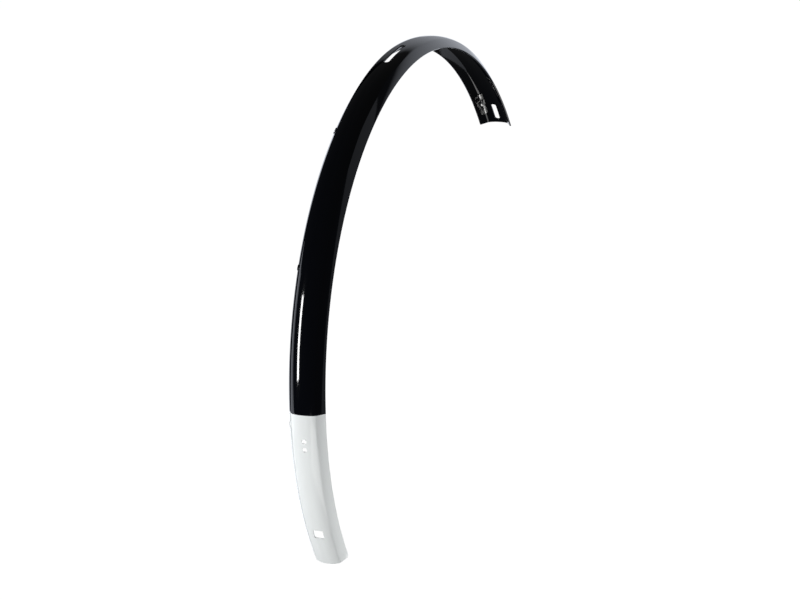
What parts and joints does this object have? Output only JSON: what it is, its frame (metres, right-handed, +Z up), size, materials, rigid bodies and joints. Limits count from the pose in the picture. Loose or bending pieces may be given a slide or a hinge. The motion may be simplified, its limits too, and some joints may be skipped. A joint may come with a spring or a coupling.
{
  "type": "bicycle mudguard",
  "caption": "Long arched rear mudguard for a bicycle: glossy black blade with a white tail, slots for the frame, holes for lamp and reflector, and a steel cable clip inside.",
  "frame": {"origin": "middle of the front fixing slot, on the crown's outer face", "axes": "+X forward out of the front slot, +Y to the left, +Z up, as the blade sits over a rear wheel; the wheel's centre is 372 mm behind the origin on the X axis"},
  "size_m": [0.7405, 0.0446, 0.3941],
  "materials": {
    "blade_plastic": "high gloss black, with a white field over the tail end",
    "clip_steel": "bright zinc-plated sheet"
  },
  "bodies": {
    "root": {"blade": "blade_plastic", "cable_clip": "clip_steel"}
  },
  "joints": []
}
